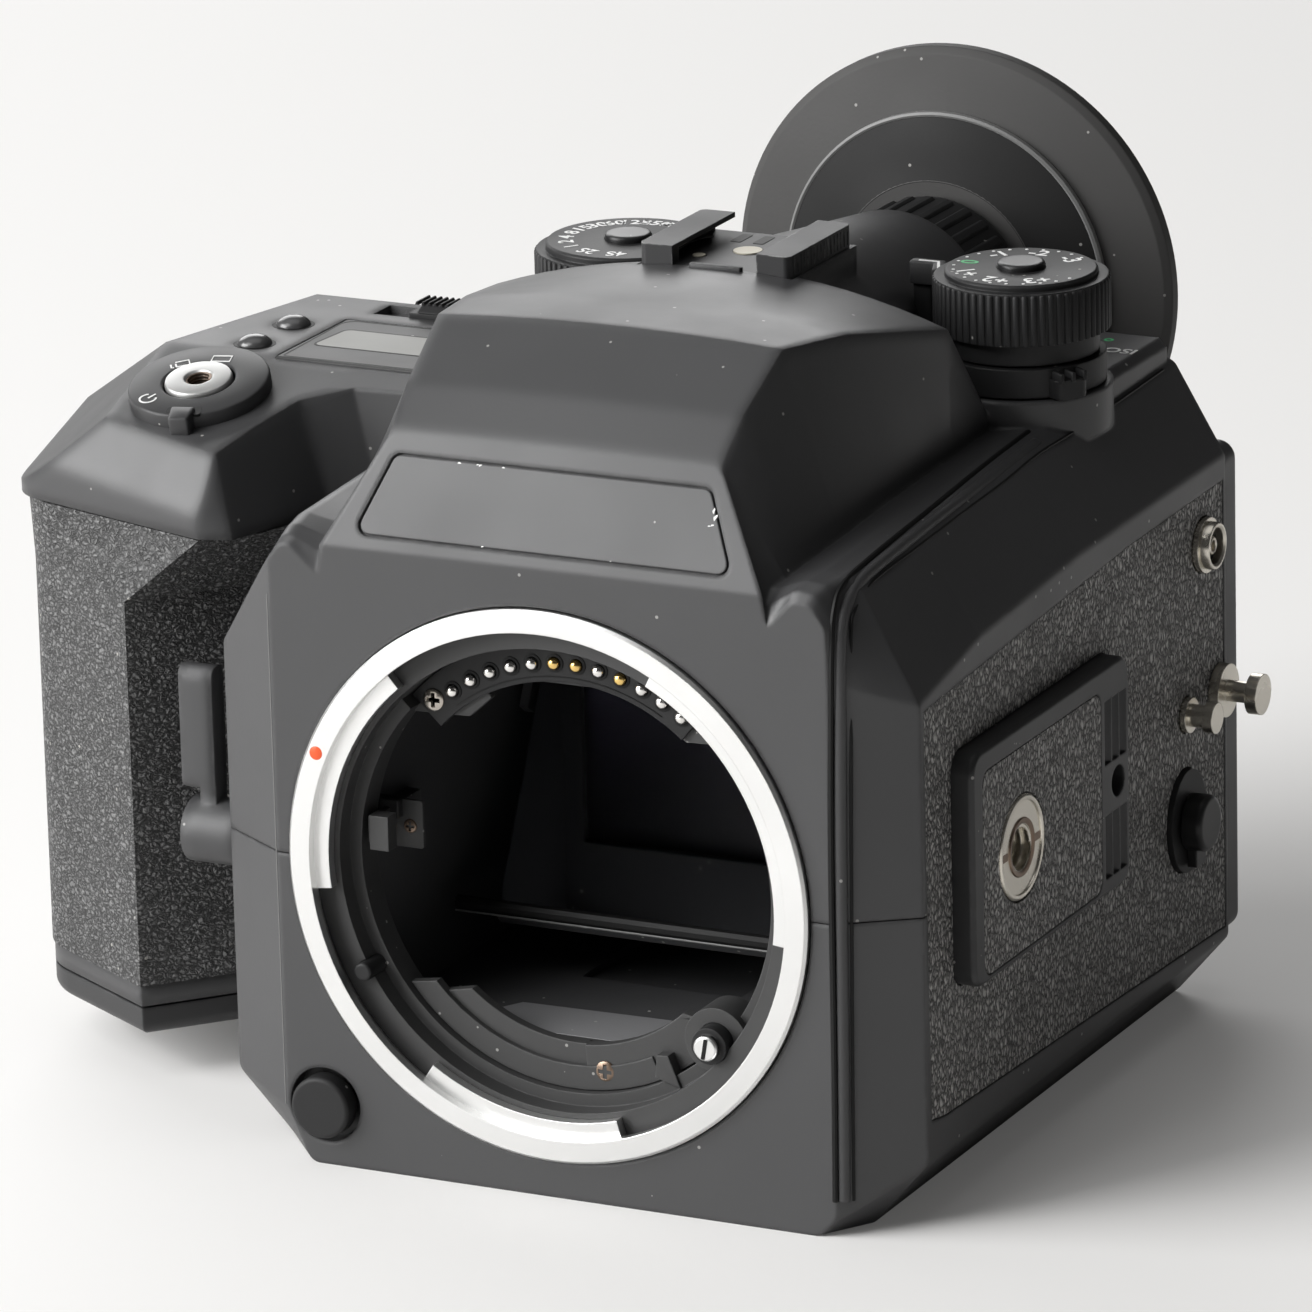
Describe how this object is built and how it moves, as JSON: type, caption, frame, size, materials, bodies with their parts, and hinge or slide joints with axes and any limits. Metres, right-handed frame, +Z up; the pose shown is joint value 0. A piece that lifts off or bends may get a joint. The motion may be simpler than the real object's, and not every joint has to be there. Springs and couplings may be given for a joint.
{
  "type": "medium format film camera",
  "caption": "Medium format single lens reflex film camera body with grip, prism finder, dials, reflex mirror, focal plane shutter and removable film back.",
  "frame": {"origin": "centre of the lens mount's register face", "axes": "-Y towards the lens, +Z up, +X to the tripod plate side; the grip is at -X"},
  "size_m": [0.1557, 0.1379, 0.1283],
  "materials": {
    "cover": "satin black moulding",
    "leatherette": "black pebble grain",
    "grip_skin": "black wrinkled grain",
    "plate": "satin black",
    "nickel": "warm nickel",
    "black_metal": "matt black",
    "ring_steel": "bright stainless",
    "rubber": "matt black",
    "control": "fine textured black",
    "gloss": "gloss black",
    "glass": "coated",
    "mirror": "silvered",
    "gold": "gold plated",
    "cell": "foil sleeve",
    "board": "green laminate",
    "motor": "plated",
    "blade": "black coated",
    "gear": "natural acetal",
    "spool": "black",
    "window": "smoked"
  },
  "bodies": {
    "body": {"top_cover": "cover", "bottom_cover": "cover", "side_leather": "leatherette", "side_tripod_plate": "plate", "tripod_bushes": "nickel", "strap_lugs": "nickel", "sync_socket": "nickel", "remote_socket": "plate", "grip_shell": "cover", "grip_leather": "grip_skin", "lens_mount_ring": "ring_steel", "mount_baffle": "black_metal", "contact_block": "control", "mirror_box": "black_metal", "focusing_screen": "glass", "prism": "glass", "eyepiece_lens": "glass", "eyecup": "rubber", "hot_shoe": "black_metal", "shoe_contacts": "nickel", "display_window": "window", "shutter_frame": "black_metal", "wind_motor": "motor", "circuit_board": "board"},
    "remote_cap": {"remote_cap": "rubber"},
    "battery_tray": {"battery_holder": "cover", "battery_cells": "cell"},
    "lock_key": {"battery_lock_key": "nickel"},
    "lens_contacts": {"contact_pins": "gold"},
    "lock_pin": {"lens_lock_pin": "nickel"},
    "release_button": {"lens_release_button": "control"},
    "preview_lever": {"preview_lever": "control"},
    "aperture_lever": {"aperture_lever": "black_metal"},
    "focus_coupler": {"focus_coupler": "nickel"},
    "mirror": {"mirror_frame": "black_metal", "mirror_glass": "mirror"},
    "secondary_mirror": {"sub_mirror": "mirror"},
    "dioptre": {"dioptre_ring": "control"},
    "compensation_dial": {"compensation_dial": "control"},
    "compensation_lock": {"compensation_lock": "gloss"},
    "metering_lever": {"metering_lever": "control"},
    "shutter_dial": {"shutter_dial": "control"},
    "shutter_dial_lock": {"shutter_dial_lock": "gloss"},
    "power_switch": {"power_switch": "control"},
    "shutter_button": {"shutter_button": "nickel"},
    "front_button": {"function_button_front": "gloss"},
    "rear_button": {"function_button_rear": "gloss"},
    "slide_switch": {"slide_switch": "control"},
    "front_lead": {"front_blade_lead": "blade"},
    "front_follow": {"front_blade_follow": "blade"},
    "rear_lead": {"rear_blade_lead": "blade"},
    "rear_follow": {"rear_blade_follow": "blade"},
    "film_back": {"back_door": "cover", "film_insert": "plate"},
    "back_latch": {"back_latch": "control"},
    "pressure_plate": {"pressure_plate": "black_metal"},
    "feed_spool": {"feed_spool": "spool"},
    "takeup": {"takeup_spool": "spool", "wind_gear": "gear"},
    "pinion": {"wind_pinion": "gear"}
  },
  "joints": [
    {"name": "remote_cap_pull", "type": "slide", "parent": "body", "child": "remote_cap", "axis": [1, 0, 0], "range_m": [0, 0.006]},
    {"name": "battery_tray_slide", "type": "slide", "parent": "body", "child": "battery_tray", "axis": [0, 0, -1], "range_m": [0, 0.06]},
    {"name": "lock_key_turn", "type": "hinge", "parent": "battery_tray", "child": "lock_key", "pos_m": [-0.079, 0.062, -0.037], "axis": [0, 0, 1], "range_deg": [0, 90]},
    {"name": "lens_contacts_press", "type": "slide", "parent": "body", "child": "lens_contacts", "axis": [0, 1, 0], "range_m": [0, 0.0006], "stiffness_N_per_m": 800},
    {"name": "release_button_press", "type": "slide", "parent": "body", "child": "release_button", "axis": [0, 1, 0], "range_m": [0, 0.002], "stiffness_N_per_m": 1200},
    {"name": "lock_pin_retract", "type": "slide", "parent": "body", "child": "lock_pin", "axis": [0, 1, 0], "range_m": [0, 0.002]},
    {"name": "preview_lever_turn", "type": "hinge", "parent": "body", "child": "preview_lever", "pos_m": [-0.056, 0.0145, -0.003], "axis": [-1, 0, 0], "range_deg": [0, 15], "stiffness_Nm_per_rad": 0.2},
    {"name": "aperture_lever_travel", "type": "slide", "parent": "body", "child": "aperture_lever", "axis": [0, 0, -1], "range_m": [0, 0.007], "stiffness_N_per_m": 60},
    {"name": "focus_coupler_turn", "type": "hinge", "parent": "body", "child": "focus_coupler", "pos_m": [0.0225, 0.008, -0.0198], "axis": [0, 1, 0], "continuous": true},
    {"name": "mirror_flip", "type": "hinge", "parent": "body", "child": "mirror", "pos_m": [0, 0.061, 0.0226], "axis": [-1, 0, 0], "range_deg": [0, 45], "stiffness_Nm_per_rad": 0.3},
    {"name": "secondary_mirror_fold", "type": "hinge", "parent": "mirror", "child": "secondary_mirror", "pos_m": [0, 0.05028, 0.00232], "axis": [-1, 0, 0], "range_deg": [0, 90]},
    {"name": "dioptre_turn", "type": "hinge", "parent": "body", "child": "dioptre", "pos_m": [0, 0.12, 0.0508], "axis": [0, 1, 0], "range_deg": [-60, 60]},
    {"name": "compensation_dial_turn", "type": "hinge", "parent": "body", "child": "compensation_dial", "pos_m": [0.0335, 0.082, 0.06], "axis": [0, 0, 1], "range_deg": [-120, 120]},
    {"name": "compensation_lock_press", "type": "slide", "parent": "compensation_dial", "child": "compensation_lock", "axis": [0, 0, -1], "range_m": [0, 0.001], "stiffness_N_per_m": 600},
    {"name": "metering_lever_turn", "type": "hinge", "parent": "body", "child": "metering_lever", "pos_m": [0.0335, 0.082, 0.0545], "axis": [0, 0, 1], "range_deg": [-30, 30]},
    {"name": "shutter_dial_turn", "type": "hinge", "parent": "body", "child": "shutter_dial", "pos_m": [-0.0283, 0.0863, 0.06], "axis": [0, 0, 1], "continuous": true},
    {"name": "shutter_dial_lock_press", "type": "slide", "parent": "shutter_dial", "child": "shutter_dial_lock", "axis": [0, 0, -1], "range_m": [0, 0.001], "stiffness_N_per_m": 600},
    {"name": "power_switch_turn", "type": "hinge", "parent": "body", "child": "power_switch", "pos_m": [-0.0701, 0.0376, 0.05142], "axis": [0, -0.2504, 0.9681], "range_deg": [0, 55]},
    {"name": "shutter_button_press", "type": "slide", "parent": "body", "child": "shutter_button", "axis": [0, 0.2504, -0.9681], "range_m": [0, 0.0009], "stiffness_N_per_m": 1500},
    {"name": "front_button_press", "type": "slide", "parent": "body", "child": "front_button", "axis": [0, 0, -1], "range_m": [0, 0.0005], "stiffness_N_per_m": 1200},
    {"name": "rear_button_press", "type": "slide", "parent": "body", "child": "rear_button", "axis": [0, 0, -1], "range_m": [0, 0.0005], "stiffness_N_per_m": 1200},
    {"name": "slide_switch_travel", "type": "slide", "parent": "body", "child": "slide_switch", "axis": [1, 0, 0], "range_m": [-0.0035, 0.0035]},
    {"name": "front_lead_run", "type": "slide", "parent": "body", "child": "front_lead", "axis": [0, 0, -1], "range_m": [0, 0.0418]},
    {"name": "front_follow_run", "type": "slide", "parent": "body", "child": "front_follow", "axis": [0, 0, -1], "range_m": [0, 0.0212]},
    {"name": "rear_lead_run", "type": "slide", "parent": "body", "child": "rear_lead", "axis": [0, 0, -1], "range_m": [0, 0.0418]},
    {"name": "rear_follow_run", "type": "slide", "parent": "body", "child": "rear_follow", "axis": [0, 0, -1], "range_m": [0, 0.0212]},
    {"name": "film_back_slide", "type": "slide", "parent": "body", "child": "film_back", "axis": [0, 1, 0], "range_m": [0, 0.012]},
    {"name": "back_latch_turn", "type": "hinge", "parent": "body", "child": "back_latch", "pos_m": [-0.0475, 0.113, -0.018], "axis": [0, -1, 0], "range_deg": [0, 90]},
    {"name": "pressure_plate_give", "type": "slide", "parent": "film_back", "child": "pressure_plate", "axis": [0, 1, 0], "range_m": [0, 0.0008], "stiffness_N_per_m": 900},
    {"name": "feed_spool_turn", "type": "hinge", "parent": "film_back", "child": "feed_spool", "pos_m": [0, 0.092, -0.0165], "axis": [1, 0, 0], "continuous": true},
    {"name": "takeup_turn", "type": "hinge", "parent": "film_back", "child": "takeup", "pos_m": [0, 0.092, 0.0165], "axis": [1, 0, 0], "continuous": true},
    {"name": "pinion_turn", "type": "hinge", "parent": "body", "child": "pinion", "pos_m": [0.044, 0.0751, 0.0165], "axis": [1, 0, 0], "continuous": true}
  ],
  "couplings": [
    {"joint": "lock_pin_retract", "follows": "release_button_press", "ratio": 1},
    {"joint": "secondary_mirror_fold", "follows": "mirror_flip", "ratio": 2},
    {"joint": "front_follow_run", "follows": "front_lead_run", "ratio": 0.507},
    {"joint": "rear_follow_run", "follows": "rear_lead_run", "ratio": 0.507},
    {"joint": "pinion_turn", "follows": "takeup_turn", "ratio": -2.5}
  ]
}
